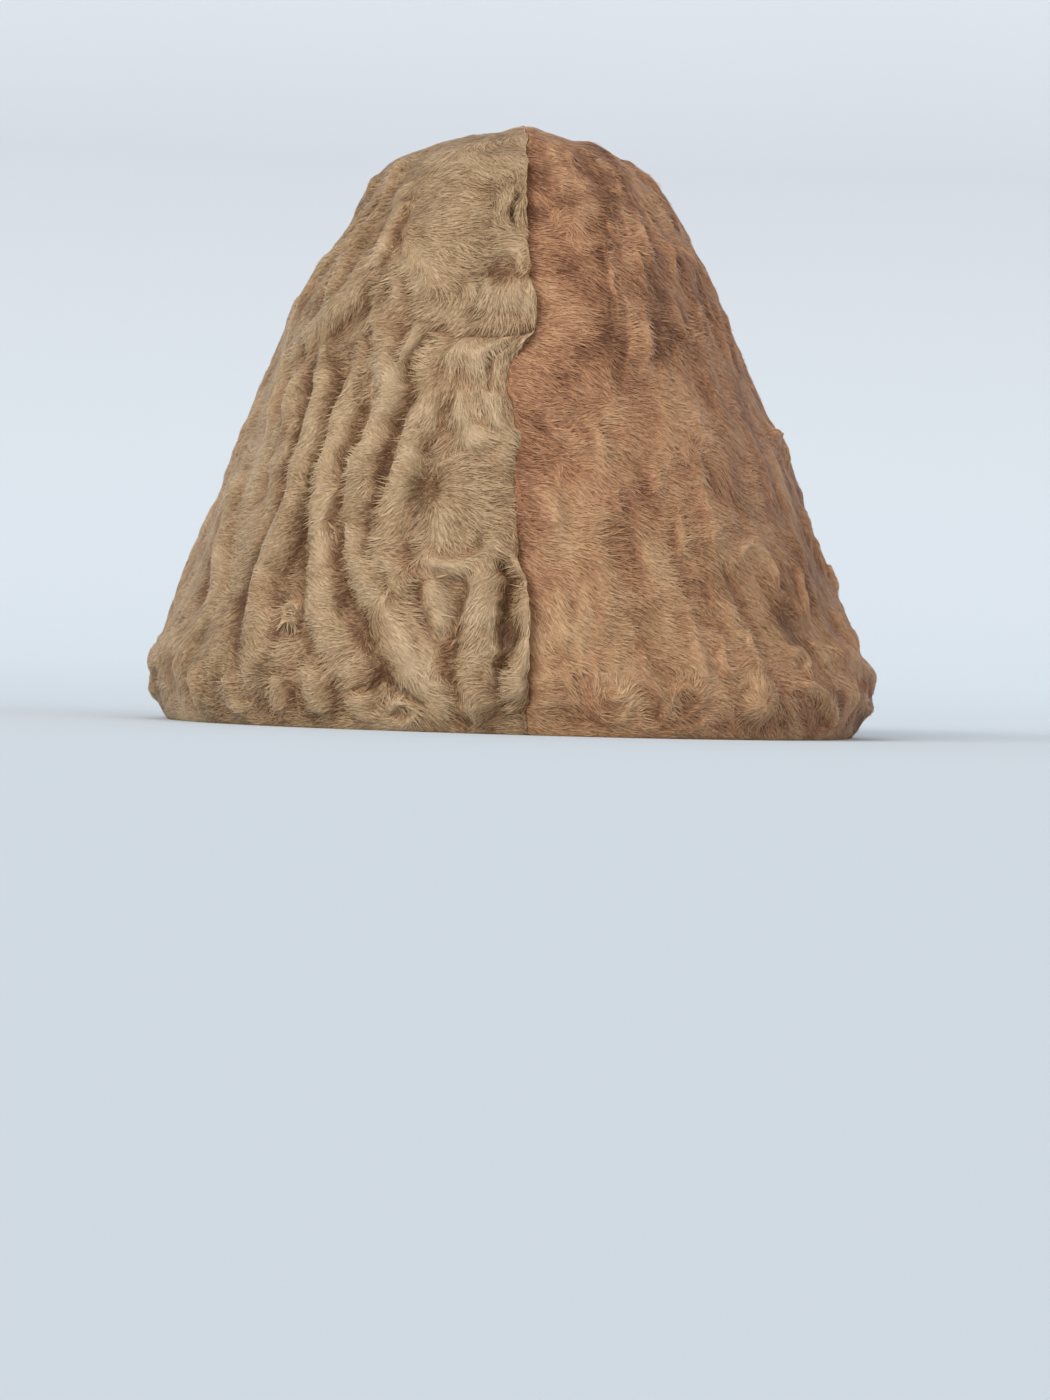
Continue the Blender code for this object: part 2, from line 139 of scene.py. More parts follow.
# the right pelt is smoother, with soft waves, and tufts and curls above the rim
rightStrokes = [
    (3.2, 1.5, 20, 150, 16, 144, 12, 136, 12, 124), (1.6, -1.2, 13, 130, 12, 126),
    (1.7, -1.5, 29, 148, 22, 132, 18, 120, 18, 109, 16, 98),
    (3.4, 0.8, 33, 147, 28, 131, 25, 116, 21, 102, 20, 88), (1.5, -0.5, 38, 138, 31, 124, 26, 110),
    (3.4, 0.7, 44, 137, 36, 120, 32, 104, 30, 94), (3.6, 0.7, 50, 130, 46, 112, 44, 94),
    (4, 0.6, 62, 128, 54, 106, 50, 84), (4, 0.6, 76, 124, 66, 104, 60, 80), (2.6, 1.3, 8, 81, 7, 71),
    (2.6, 1.6, 16, 78, 16, 68), (1.6, -1.1, 12, 80, 12, 73), (2.2, -1.2, 10, 67, 10, 63),
    (3, 1.4, 7, 60, 7, 50), (2.4, 1.3, 18, 60, 19, 53), (2.6, 1.6, 27, 68, 27, 59),
    (1.8, -0.8, 24, 68, 24, 56), (2.4, 1.4, 31, 55, 30, 44), (1.5, -1, 30, 57, 28, 47),
    (3, 1.3, 38, 70, 38, 58, 37, 47), (2.8, 1.2, 22, 52, 23, 40), (2.2, -0.9, 2, 63, 3, 57, 3, 50),
    (3.6, 1, 14, 52, 14, 38, 13, 28), (2.2, 2.3, 42, 45, 46, 48, 50, 45, 52, 39),
    (2, -1.4, 39, 43, 40, 35, 42, 28), (1.8, -1.5, 47, 42, 48, 37, 49, 32), (2, 2, 40, 27, 39, 22, 40, 17),
    (2.6, 1.4, 37, 36, 37, 24), (2.4, 1.8, 54, 38, 56, 31), (2.4, 1.8, 60, 44, 59, 33),
    (2, 2.4, 49, 23, 52, 22, 52, 17), (2.4, 1.8, 56, 26, 60, 20), (2.6, 2, 48, 13, 54, 13, 60, 7, 61, 2),
    (1.4, -1.1, 49, 15, 50, 10, 54, 4), (2, 1.3, 11, 8, 13, 3, 16, 4, 17, 9),
    (2, 1.5, 18, 6, 20, 2, 23, 4, 24, 11), (2, 1.5, 25, 3, 28, 2, 31, 6),
    (2.2, 1.2, 10, 20, 12, 12, 14, 9, 17, 11), (2.6, 1.4, 19, 23, 20, 15, 23, 8),
    (3, 1.3, 28, 34, 29, 24, 30, 12), (3.2, 1.1, 8, 30, 8, 22, 9, 14), (3, 1.2, 5, 38, 5, 28, 6, 18, 7, 8),
    (2, 1.6, 34, 26, 34, 18, 36, 13), (2.6, 2.8, 72, 80, 80, 77, 84, 72), (3.2, 1.4, 80, 62, 84, 54),
    (2.8, 2.4, 84, 46, 84, 38), (3.4, 1.5, 82, 30, 86, 22), (5, 2.4, 62, 24, 72, 20, 86, 16, 96, 14),
    (3.4, 1.8, 64, 14, 76, 9, 90, 7), (3.4, 1.4, 66, 66, 64, 54, 64, 46), (3, 1.6, 74, 60, 76, 50),
    (2.8, 2.2, 78, 52, 80, 44), (3.4, 2, 70, 34, 74, 24, 76, 10), (2.6, 1.6, 66, 18, 68, 8),
    (4, 2, 88, 40, 90, 24, 88, 8),
]

# where rolls stand close together: angle, height, reach, share
ribbedPlaces = [
    (-44, 78, 22, 1), (-28, 64, 22, 1), (-26, 34, 20, 0.55), (-12, 26, 14, 0.8), (-42, 26, 14, 0.35),
    (-14, 76, 14, 0.6), (-54, 122, 24, 0.6), (40, 112, 30, 0.4), (52, 20, 16, 0.6),
]

# round curls, where a ring stands up about an eye: angle, height, ring radius, half width, rise
curls = [
    (-37, 28, 2.2, 1.5, 1.3), (-17, 4, 3.4, 1.6, 1.2), (37, 71, 2.2, 1.6, 0.8), (41, 10, 2.2, 5.8, 2.3),
    (13, 9, 4.2, 1.6, 0.7), (26, 9, 4, 1.6, 0.9), (-62, 16, 3, 1.8, 1),
]

# way the hair is combed: angle, height, direction (0 right, 90 up, 180 left, 270 down), reach
combLeft = [
    (-70, 90, 190, 24), (-60, 50, 190, 26), (-64, 14, 200, 22), (-45, 100, 200, 16), (-44, 30, 176, 14),
    (-40, 75, 186, 16), (-30, 40, 176, 12), (-30, 12, 196, 10), (-24, 70, 178, 10), (-30, 134, 10, 14),
    (-18, 128, -8, 14), (-6, 132, -62, 9), (-6, 146, -40, 12), (-14, 116, -14, 9), (-6, 108, -40, 7),
    (-14, 106, 236, 6), (-9, 93, -88, 7), (-3, 92, -84, 6), (-16, 78, 236, 8), (-6, 80, -58, 8),
    (-8, 60, 2, 11), (-4, 70, -26, 8), (-8, 50, -28, 9), (-20, 52, 190, 8), (-14, 34, -12, 8),
    (-6, 24, 242, 5), (-1, 24, -62, 5), (-18, 22, -20, 8), (-22, 8, 210, 8), (-12, 6, -30, 7),
    (3, 20, -70, 5), (-50, 130, 196, 18), (-75, 130, 200, 20),
]
combRight = [
    (4, 132, 0, 8), (14, 130, -24, 9), (8, 108, -4, 10), (22, 110, -12, 14), (38, 108, -18, 18),
    (58, 100, -26, 24), (6, 82, -8, 12), (16, 70, -12, 14), (30, 74, -16, 16), (46, 66, -26, 18),
    (6, 56, -14, 10), (14, 44, -10, 14), (26, 46, -14, 14), (3, 28, -74, 6), (9, 26, -20, 9),
    (18, 28, -22, 10), (27, 24, -20, 10), (8, 5, -8, 9), (20, 3, -14, 8), (34, 26, -24, 12),
    (46, 36, -34, 10), (54, 26, -52, 10), (66, 40, -46, 20), (66, 14, -36, 14), (80, 70, -36, 26),
]

# direction where no entry is near, on the left pelt (-1) and on the right one (1)
usualWay = {-1: 188, 1: -24}

# places that the hair runs round or away from: angle, height, reach, turn (+ anticlockwise), spread
swirls = [
    (-16, 59, 9, 0, 1), (-36, 28, 5, 1, 0.3), (-17, 4, 6, -1, 0.2), (-20, 14, 6, 0, 1),
    (13, 10, 10, 1, -0.1), (26, 12, 8, 1, -0.1), (41, 10, 13, -0.6, 0.9), (37, 71, 5, 1, 0.2),
    (10, 65, 5, 0.6, 0.7), (12, 129, 6, -1, 0.2), (-8, 114, 7, -1, 0.1), (58, 8, 8, 0.8, 0.4),
    (-25, 61, 6, 0.7, 0.1), (51, 32, 6, 0.2, 0.9),
]

# lighter (+) and darker (-) patches, partly the fur's own tone, partly painted shade in curl pits and
# beside the seam under the left pelt's lip, and painted light on roll crests: angle, height, reach, amount
toneAndShadePatches = [
    (-25, 61, 4, -0.5), (-16, 59, 3, -0.6), (-8, 115, 6, -0.3), (-8, 107, 6, 0.35), (-9, 93, 6, 0.25),
    (-20, 99, 3, -0.5), (-20, 14, 3.4, -0.6), (-38, 14, 4, -0.5), (-66, 34, 6, -0.4), (-56, 76, 6, -0.3),
    (-34, 110, 4, -0.3), (-2, 130, 3, -0.5), (-6, 44, 3.5, -0.4), (-2, 24, 2.6, -0.5), (-8, 22, 2.6, -0.5),
    (-45, 18, 24, -0.22), (-18, 126, 12, -0.1), (-14, 41, 4, 0.4), (-46, 30, 5, 0.3), (-60, 8, 9, -0.15),
    (-42, 60, 3, -0.4), (-34, 64, 3, -0.4), (-30, 44, 3, -0.4), (-37, 24, 4, -0.35), (-44, 92, 3, -0.3),
    (-52, 84, 3, -0.3), (3, 142, 6, -0.9), (3, 130, 6, -1), (4, 118, 6, -0.8), (15, 142, 5, 0.9),
    (13, 135, 2.4, -1.1), (10, 128, 5, 0.5), (23, 128, 4, -0.9), (17, 70, 4.5, 0.55), (10, 65, 4, -0.5),
    (7, 50, 6, 0.5), (4, 70, 7, -0.35), (28, 62, 4, 0.5), (31, 50, 5, 0.4), (37, 58, 4, 0.35),
    (20, 58, 4, 0.35), (22, 40, 5, 0.3), (8, 84, 9, -0.25), (50, 33, 7, -0.8), (54, 26, 6, -0.5),
    (45, 45, 4, 0.5), (39, 25, 4, 0.6), (50, 19, 3.4, 1.1), (60, 10, 5, -0.8), (64, 46, 14, -0.35),
    (60, 80, 14, -0.2), (10, 20, 12, 0.35), (22, 20, 8, 0.2), (41, 10, 1.8, 0.2), (46, 12, 4, 0.4),
    (24, 136, 4, -1), (26, 143, 4, -0.9), (20, 121, 4, -1), (18, 112, 4, -0.8), (17, 102, 4, -0.5),
    (34, 138, 4, -0.6), (31, 124, 5, 0.5), (10, 106, 5, 0.45), (24, 102, 5, 0.3), (38, 106, 16, -0.12),
    (50, 120, 14, -0.1), (13, 95, 3, -0.7), (34, 36, 6, -0.2), (1, 50, 5, -0.45), (40, 84, 3.5, -0.35),
    (35, 98, 2.5, -0.4), (32, 82, 3, 0.4), (3, 20, 3, -0.35), (76, 12, 8, -0.3),
]


def smoothStep(value, low, high):
    share = np.clip((value - low) / (high - low), 0.0, 1.0)
    return share * share * (3.0 - 2.0 * share)


# 1 at the middle of a soft spot, and next to nothing at twice its reach
def spot(distance, reach):
    return np.exp(-((distance / reach) ** 2))


def lengthOf(vectors):
    return np.linalg.norm(vectors, axis=-1)


def unit(vectors):
    return vectors / np.maximum(lengthOf(vectors)[..., None], 1e-9)


# a smooth curve that passes through every given point
def smoothLine(points, perSpan):
    knots = np.array(points, float)
    ahead = np.vstack([2 * knots[0] - knots[1], knots, 2 * knots[-1] - knots[-2]])
    line = []
    for before, start, end, after in zip(ahead, ahead[1:], ahead[2:], ahead[3:]):
        for t in np.arange(perSpan) / perSpan:
            bend = (2 * before - 5 * start + 4 * end - after) * t * t
            twist = (3 * start - before - 3 * end + after) * t**3
            line.append(0.5 * (2 * start + (end - before) * t + bend + twist))
    line.append(knots[-1])
    return np.array(line)


sectionCurve = smoothLine(capSections, 24)


# a point of the smooth cap, before any curl
def onSurface(angle, height):
    turn = np.radians(angle)
    left, right, depth = (np.interp(height, sectionCurve[:, 0], sectionCurve[:, k]) for k in (1, 2, 3))
    width = np.where(np.asarray(angle) < 0, left, right)
    dip = capShape["saddleDip"] * np.sin(turn) ** 2 + capShape["backDrop"] * (1 - np.cos(turn)) / 2
    up = height - dip * (height / capShape["crownHeight"]) ** 3
    return np.stack([width * np.sin(turn), -depth * np.cos(turn), up], axis=-1)


# the entries of a chart that lie on one pelt, each with its point in place of angle and height
def placesOn(side, chart):
    return [(onSurface(angle, height), *rest) for angle, height, *rest in chart if angle * side > 0]


# smooth, seeded unevenness with about unit spread, for bumps of a given size, drawn out up the cap
# where the stretch is under 1
def wavyNoise(points, size, seed, stretch=1.0):
    points = points * (1, 1, stretch)
    rng = np.random.default_rng(seed)
    total = np.zeros(points.shape[:-1])
    waves = 16
    for _ in range(waves):
        heading = rng.normal(size=3)
        pace = 2 * math.pi / size * rng.uniform(0.7, 1.4) / np.linalg.norm(heading)
        total += np.sin(points @ heading * pace + rng.uniform(0, 2 * math.pi))
    return total / math.sqrt(waves / 2)


# distance from each point to a line over the surface, and how far along it, worked out only near it
def distanceToLine(points, line, reach):
    gap, progress = np.full(points.shape[:-1], 1e3), np.zeros(points.shape[:-1])
    near = np.all((points > line.min(0) - reach) & (points < line.max(0) + reach), axis=-1)
    here = points[near]
    best, reached = gap[near], progress[near]
    for number, (start, end) in enumerate(zip(line, line[1:])):
        along = end - start
        share = np.clip((here - start) @ along / max(along @ along, 1e-9), 0.0, 1.0)
        away = lengthOf(here - start - share[:, None] * along)
        reached = np.where(away < best, (number + share) / (len(line) - 1), reached)
        best = np.minimum(away, best)
    gap[near], progress[near] = best, reached
    return gap, progress


def bump(distance, halfWidth, rise, roundness=1.4):
    return rise * np.cos(np.clip(distance / halfWidth, 0.0, 1.0) * math.pi / 2) ** roundness


# a roll or furrow fades in and out at its ends
def endFade(progress, least):
    toEnd = np.minimum(progress, 1.0 - progress)
    return least + (1.0 - least) * smoothStep(toEnd, 0.0, 0.16)


# long folds round the sides and back, tall and short in turn
def sideFolds(side):
    folds = []
    for count, angle in enumerate(np.arange(90.0, 176.0, fur["foldPitch"])):
        lean = 5.0 * math.sin(2.1 * count)
        top = 112.0 + 18.0 * math.sin(1.7 * count)
        foot = 15.0 + 7.0 * math.cos(2.6 * count)
        rise = fur["foldRise"] * (1.0 + 0.3 * math.sin(3.3 * count))
        middle = (side * (angle + 1.5 * lean), (top + foot) / 2)
        points = (side * (angle + lean), top, *middle, side * angle, foot)
        folds.append((fur["foldHalfWidth"], rise, *points))
    return folds


# curls that the front view hides: wavy rolls at a regular pitch, broken up by noise
def hiddenRolls(points, angle, height):
    meanRadius = 88.0
    around = np.radians(angle) * meanRadius
    pulled = around + 3.6 * wavyNoise(points, 34.0, 11, 0.5) + 1.2 * wavyNoise(points, 11.0, 12)
    rolls = (0.5 + 0.5 * np.cos(2 * math.pi * pulled / fur["sideRollPitch"])) ** 1.3
    strength = 0.55 + 0.45 * np.clip(wavyNoise(points, 30.0, 13, 0.6), -1.2, 1.2)
    broken = np.clip(0.75 + 0.6 * wavyNoise(points, 13.0, 14), 0.0, 1.2)
    reach = smoothStep(np.abs(angle), 72.0, 92.0) * (1.0 - smoothStep(height, 138.0, 152.0))
    return fur["sideRollRise"] * rolls * strength * broken * reach


# close, shallow ribs that run up the crown of the right pelt
def fineRibs(points, angle, height):
    pulled = 0.95 * angle + 0.9 * wavyNoise(points, 20.0, 33, 0.6)
    strength = np.clip(0.75 + 0.5 * wavyNoise(points, 11.0, 34, 0.5), 0.1, 1.4)
    reach = smoothStep(height, 74.0, 104.0) * smoothStep(angle, 4.0, 12.0)
    reach *= 1.0 - smoothStep(height, 146.0, 154.0)
    return fur["ribRise"] * reach * strength * np.cos(2 * math.pi * pulled / fur["ribPitch"])


# the seam wanders, and the hair edge along it is a little uneven
def seamShift(points):
    height = points[..., 2]
    uneven = 0.5 + 0.5 * np.sin(height * 0.17 + 1.0)
    waver = 0.42 * uneven * np.sin(height * 0.71 + 0.8) + 0.16 * np.sin(height * 1.53 + 2.0)
    facing = spot(points[..., 0], 24.0) * (points[..., 1] < 0)
    return (np.interp(height, *zip(*seamLine)) + waver) * facing


# above, the left pelt laps over the right one in scallops; below, the two are sewn flush
def seamRelief(points, side):
    across, height = np.abs(points[..., 0]), points[..., 2]
    upper = smoothStep(height, 84.0, 104.0)
    front = 1.0 - smoothStep(points[..., 1], 0.0, capShape["ridgeHalfLength"])
    sewn = -0.45 * spot(across, 1.4) * (1.0 - upper * front)
    if side < 0:
        lip = np.clip(1.0 - across / 9.0, 0.0, 1.0)
        scallop = 0.75 + 0.25 * np.cos(2 * math.pi * height / 12.0)
        tip = 1.0 - smoothStep(height, 138.0, 154.0)
        return fur["seamLip"] * np.sqrt(lip) * scallop * upper * front * tip + sewn
    atTip = 1.0 - 0.95 * smoothStep(height, 140.0, 153.0)
    return -fur["seamHollow"] * spot(across - 9.0, 15.0) * upper * front * atTip + sewn


# height of the curls, rolls and furrows over the smooth pelt
def furRelief(points, angle, height, side):
    raised, sunk, ribbed = np.zeros((3, *points.shape[:-1]))
    warped = points + 0.45 * np.stack([wavyNoise(points, 16.0, seed) for seed in (21, 22, 23)], axis=-1)
    warped += 0.16 * np.stack([wavyNoise(points, 5.0, seed) for seed in (24, 25, 26)], axis=-1)
    strokes = leftStrokes if side < 0 else rightStrokes
    for halfWidth, rise, *line in strokes + sideFolds(side):
        path = smoothLine(np.reshape(line, (-1, 2)), 6)
        gap, progress = distanceToLine(warped, onSurface(path[:, 0], path[:, 1]), 2.6 * halfWidth + 3.0)
        isRoll = rise > 1.0
        isWide = isRoll and side < 0
        isLong = isWide and len(line) > 6
        spread = fur["rollTop"] if isWide else 1.0
        if isLong:
            # long rolls widen on their way down
            spread = spread + (fur["rollFoot"] - fur["rollTop"]) * progress
        swell = bump(gap, halfWidth * spread, rise, 1.0 if isLong else 1.4)
        swell *= endFade(progress, 0.35 if isRoll else 0.6)
        raised = np.maximum(raised, swell)
        sunk = np.minimum(sunk, swell)
    for centre, radius, halfWidth, rise in placesOn(side, curls):
        away = lengthOf(warped - centre)
        raised = np.maximum(raised, bump(np.abs(away - radius), halfWidth, rise))
        sunk = np.minimum(sunk, bump(away, radius * 0.6, -0.25 * rise))
    raised = np.maximum(raised, hiddenRolls(points, angle, height))
    soft = 0.34 * wavyNoise(points, 15.0, 31, 0.45) + 0.16 * wavyNoise(points, 6.0, 32)
    if side > 0:
        soft += fineRibs(points, angle, height)
    # between rolls that stand close together the skin sinks
    for centre, reach, amount in placesOn(side, ribbedPlaces):
        away = lengthOf((points - centre) * (1, 1, 0.7))
        ribbed = np.maximum(ribbed, amount * np.exp(-((away / reach) ** 4)))
    valley = fur["valleyDepth"] * ribbed * np.clip(1.0 - raised / 1.6, 0.0, 1.0)
    scale = fur["leftRise"] if side < 0 else fur["rightRise"]
    return scale * (raised + sunk) - valley + soft


# sums the chart's directions near each point, as complex numbers: right and up parts
def combedWay(points, side):
    chart = combLeft if side < 0 else combRight
    total = 0.1 * np.exp(1j * math.radians(usualWay[side]))
    for angle, height, direction, reach in chart:
        away = lengthOf(points - onSurface(angle, height))
        total = total + spot(away, 0.75 * reach) * np.exp(1j * math.radians(direction))
    way = np.angle(total)
    way += 0.22 * wavyNoise(points, 20.0, 41) + 0.08 * wavyNoise(points, 7.0, 42)
    return np.cos(way), np.sin(way)


def smoothedGrid(field, times):
    for _ in range(times):
        padded = np.pad(field, 1, mode="edge")
        beside = padded[:-2, 1:-1] + padded[2:, 1:-1] + padded[1:-1, :-2] + padded[1:-1, 2:]
        field = 0.5 * field + 0.125 * beside
    return field


# the fur's own tone and redness, with painted shade and painted light: hollows between curls get darker,
# redder painted shade, crests get painted light
def furToneAndShade(points, angle, height, relief, side):
    cavity = np.clip((relief - smoothedGrid(relief, 30)) / 0.7, -1.3, 1.2)
    # the cavity term is painted shade in the hollows and painted light on the crests; the noise is the
    # fur's own tone
    toneAndShade = 0.58 * cavity + 0.20 * wavyNoise(points, 22.0, 51, 0.6) + 0.16 * wavyNoise(points, 7.0, 52)
    for centre, reach, amount in placesOn(side, toneAndShadePatches):
        toneAndShade += amount * spot(lengthOf(points - centre), reach)
    # hollows are painted redder as part of their painted shade
    warm = np.clip(-0.5 * cavity, 0.0, 0.7) + 0.12 * wavyNoise(points, 18.0, 53)
    if side > 0:
        # the right pelt is streaked with light and dark locks, and redder above and beside the seam
        locks = wavyNoise(np.stack([angle, 0.0 * angle, 0.3 * height], axis=-1), 8.0, 55)
        locks = np.clip(locks, -1.5, 1.5)
        toneAndShade += 0.2 * locks * smoothStep(angle, 2.0, 10.0)
        toneAndShade += 0.16 * locks * smoothStep(height, 70.0, 100.0)
        high = smoothStep(height, 30.0, 90.0)
        beside = spot(points[..., 0], 12.0) * smoothStep(height, 30.0, 60.0)
        warm += 0.35 + 0.45 * high + 0.35 * beside + 0.3 * smoothStep(np.abs(angle), 42.0, 70.0)
    return toneAndShade, warm


# the charted way of the hair, turned by each curl so that hair falls off its crest, and its length
def furComb(points, normals, relief, side):
    right, up = combedWay(points, side)
    across, upward = np.gradient(points, axis=0), np.gradient(points, axis=1)
    acrossWay, upWay = unit(across) * side, unit(upward)
    acrossWay[:, -1] = acrossWay[:, -2]
    comb = acrossWay * right[..., None] + upWay * up[..., None]
    gentle = smoothedGrid(relief, 3)
    slopeAcross = np.gradient(gentle, axis=0) / (lengthOf(across) + 1e-3) * side
    slopeUp = np.gradient(gentle, axis=1) / (lengthOf(upward) + 1e-3)
    # short hair on steep sides, so that none bridges a groove
    hairShare = 1.0 - fur["steepTrim"] * smoothStep(np.hypot(slopeAcross, slopeUp), 0.22, 0.75)
    comb -= 0.45 * (acrossWay * slopeAcross[..., None] + upWay * slopeUp[..., None])
    for centre, reach, turn, spread in placesOn(side, swirls):
        away = points - centre
        distance = lengthOf(away)[..., None]
        radial = away / np.maximum(distance, 0.4)
        weight = 2.2 * spot(distance, 0.75 * reach) * smoothStep(distance, 0.6, 3.2)
        comb += weight * (turn * np.cross(normals, radial) + spread * radial)
    return unit(comb), hairShare


def hemRows(angles):
    turn = np.radians(angles)
    wide, deep = capShape["rimHalfWidth"], capShape["rimHalfDepth"]
    rim = np.stack([wide * np.sin(turn), -deep * np.cos(turn)], axis=-1)
    outward = unit(np.stack([np.sin(turn) / wide, -np.cos(turn) / deep], axis=-1))
    rows = [np.column_stack([rim - inset * outward, np.full(len(angles), height)])
            for inset, height in hemInside]
    return np.stack(rows, axis=1)


# heights spaced evenly along the profile
def evenRows(count):
    climb = lengthOf(np.diff(sectionCurve[:, [0, 2]], axis=0))
    along = np.concatenate([[0.0], np.cumsum(climb)])
    return np.interp(np.linspace(0, along[-1], count), along, sectionCurve[:, 0])


# a grid of points on the smooth cap, with their normals
def smoothWall(angles, heights):
    nudge = 0.05
    crown = capShape["crownHeight"]
    angle, height = np.meshgrid(angles, heights, indexing="ij")
    points = onSurface(angle, height)
    turned = onSurface(angle + nudge, height) - onSurface(angle - nudge, height)
    higher = onSurface(angle, np.minimum(height + nudge, crown))
    lower = onSurface(angle, np.maximum(height - nudge, 0.0))
    normals = unit(np.cross(turned, higher - lower))
    normals[height >= crown - 1e-6] = (0.0, 0.0, 1.0)
    return points, normals, angle, height


# one pelt as a fine closed skin: ridge, down the outside, round the hem, up the inside
def buildSkin(side):
    front = np.linspace(0.0, fur["fineUpTo"], fur["columnsFront"])
    back = np.linspace(fur["fineUpTo"], 180.0, fur["columnsBack"])
    angles = side * np.concatenate([front, back[1:]])
    heights = evenRows(fur["outsideRows"])
    points, normals, angle, height = smoothWall(angles, heights)
    # the curls die out where the rim rests
    calm = smoothStep(points[..., 2], 0.0, 3.4)
    relief = (furRelief(points, angle, height, side) - fur["skinDrop"]) * calm + seamRelief(points, side)
    # even the deepest crease stays well outside the inner wall
    shallow = fur["deepestCrease"] / 2
    limited = -shallow + shallow * np.tanh((relief + shallow) / shallow)
    relief = np.where(relief < -shallow, limited, relief)
    shift = seamShift(points)
    outside = points + relief[..., None] * normals
    outside[..., 0] += shift
    outside[..., 2] = np.maximum(outside[..., 2], 0.0)
    toneAndShade, warm = furToneAndShade(points, angle, height, relief, side)
    comb, hairShare = furComb(points, normals, relief, side)

    hem = hemRows(angles)
    inside, insideNormals, _, _ = smoothWall(angles, wallRows)
    inside = inside - capShape["peltThickness"] * insideNormals
    grid = np.concatenate([outside[:, ::-1], hem, inside], axis=1)
    hemCount, insideCount = hem.shape[1], inside.shape[1]

    # a field of the outside, gone on with over the hem and the inside
    def looped(field, hemValue, insideValue):
        below = np.broadcast_to(hemValue, (len(angles), hemCount) + field.shape[2:])
        within = np.broadcast_to(insideValue, (len(angles), insideCount) + field.shape[2:])
        return np.concatenate([field[:, ::-1], below, within], axis=1)

    # the two pelts keep a small gap at the seam
    edge = looped(shift, 0.0, 0.0) + side * capShape["seamHalfGap"]
    grid[[0, -1], :, 0] = edge[[0, -1]]
    grid[..., 0] = np.where(side * grid[..., 0] < side * edge, edge, grid[..., 0])

    turn = np.radians(angles)
    outward = np.stack([np.cos(turn), np.sin(turn), 0 * turn], axis=-1)[:, None]
    inHem = 0.8 * outward
    inHem[..., 2] = 0.6
    # thin hair at the rim and on the hem, none on the inside
    hairy = np.ones_like(relief)
    hairy[:, heights < 1.0] = fur["hemHair"]
    onHem = np.full(hemCount, fur["hemHair"])
    onHem[-1] = 0.0
    isFront = (np.abs(angles) <= 90.0).astype(float)[:, None]
    fields = {
        # the hem is a little darker and the inside much darker and redder: painted shade under and inside
        # the cap
        "toneAndShade": looped(toneAndShade, -0.1, -0.6),
        "warm": looped(warm, 0.3, 0.4),
        "hairShare": looped(hairShare, 1.0, 1.0),
        "hairFront": looped(hairy * isFront, onHem * isFront, 0.0),
        "hairBack": looped(hairy * (1 - isFront), onHem * (1 - isFront), 0.0),
    }
    return grid * mm, looped(comb, inHem, outward), fields


def readAll(items, field, kind=np.float32, size=1):
    values = np.zeros(len(items) * size, kind)
    items.foreach_get(field, values)
    return values


def addObject(name, data):
    made = bpy.data.objects.new(name, data)
    bpy.context.scene.collection.objects.link(made)
    return made


# turns all faces of a closed shape outward and writes it to a smooth mesh
def writeClosed(bm, mesh):
    bmesh.ops.recalc_face_normals(bm, faces=bm.faces)
    if bm.calc_volume(signed=True) < 0.0:
        bmesh.ops.reverse_faces(bm, faces=bm.faces)
    bm.to_mesh(mesh)
    bm.free()
    mesh.shade_smooth()


# turns a grid of columns and looped rows into a closed mesh, with its fields
def skinObject(name, grid, comb, fields, side):
    columns, rows = grid.shape[:2]
    index = np.arange(columns * rows).reshape(columns, rows)
    after = np.roll(index, -1, axis=1)
    quads = np.stack([index[:-1], index[1:], after[1:], after[:-1]], axis=-1).reshape(-1, 4)
    if side > 0:
        quads = quads[:, ::-1]
    faces = quads.tolist() + [index[0].tolist(), index[-1].tolist()]
    mesh = bpy.data.meshes.new(name)
    mesh.from_pydata(grid.reshape(-1, 3), [], faces)
    # the two flat ends at the seam are cut into triangles
    bm = bmesh.new()
    bm.from_mesh(mesh)
    bmesh.ops.triangulate(bm, faces=[face for face in bm.faces if len(face.verts) > 4])
    writeClosed(bm, mesh)
    for key, field in fields.items():
        values = mesh.attributes.new(key, "FLOAT", "POINT").data
        values.foreach_set("value", field.ravel().astype(np.float32))
    way = mesh.attributes.new("comb", "FLOAT_VECTOR", "POINT")
    way.data.foreach_set("vector", comb.ravel().astype(np.float32))
    return addObject(name, mesh)


# the first socket in use, or the one in use that has a name
def openSocket(sockets, name=None):
    return next(socket for socket in sockets if socket.enabled and name in (None, socket.name))


# gives inputs of a node a plain value or the output of another node
def feed(tree, node, feeds):
    for key, value in feeds.items():
        socket = node.inputs[key] if isinstance(key, int) else openSocket(node.inputs, key)
        if isinstance(value, bpy.types.NodeSocket):
            tree.links.new(value, socket)
        else:
            socket.default_value = value


def newNode(tree, kind, feeds=None, **settings):
    node = tree.nodes.new(kind)
    for key, value in settings.items():
        setattr(node, key, value)
    feed(tree, node, feeds or {})
    return node


# the first output of a new node
def outOf(tree, kind, feeds=None, **settings):
    return openSocket(newNode(tree, kind, feeds, **settings).outputs)


def maths(tree, operation, *values, clamp=False):
    return outOf(tree, "ShaderNodeMath", dict(enumerate(values)), operation=operation, use_clamp=clamp)


# one flat, pointed hair of unit length along Y, with a small bend: two triangles
def buildBlade(name, lean, rise):
    along = [0.0, 0.45, 0.45, 1.0]
    across = [0.0, -0.5 + 0.3 * lean, 0.5 + 0.3 * lean, lean]
    above = [0.0, rise, rise, 0.3 * rise]
    mesh = bpy.data.meshes.new(name)
    mesh.from_pydata(list(zip(across, along, above)), [], [(0, 2, 1), (1, 2, 3)])
    mesh.attributes.new("along", "FLOAT", "POINT").data.foreach_set("value", along)
    mesh.shade_smooth()
    return bpy.data.objects.new(name, mesh)


